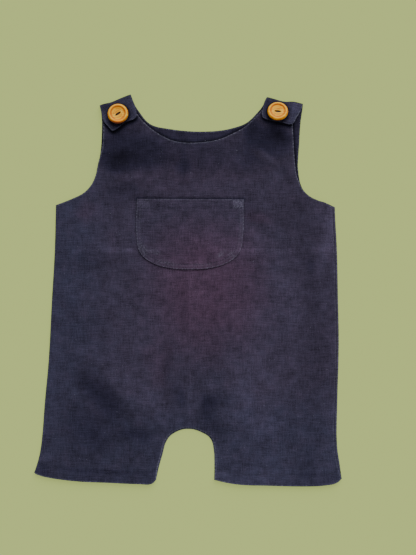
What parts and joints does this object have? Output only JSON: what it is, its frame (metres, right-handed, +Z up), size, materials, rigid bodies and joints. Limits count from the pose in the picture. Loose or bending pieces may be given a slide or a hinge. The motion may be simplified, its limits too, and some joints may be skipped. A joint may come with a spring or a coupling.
{
  "type": "romper",
  "caption": "Baby's sleeveless romper with short legs, a patch pocket and straps that fold over the shoulders and button in front, laid flat.",
  "frame": {"origin": "on the surface that the romper lies on, under the middle of its outline", "axes": "+X to the right of the picture, +Y towards the shoulders, +Z up out of the front"},
  "size_m": [0.3076, 0.3916, 0.0151],
  "materials": {
    "linen": "matt slubbed linen",
    "wood": "smooth waxed",
    "thread": "matt sewing thread"
  },
  "bodies": {
    "root": {"back": "linen", "front": "linen", "pocket": "linen", "button_left": "wood", "button_right": "wood"}
  },
  "joints": []
}
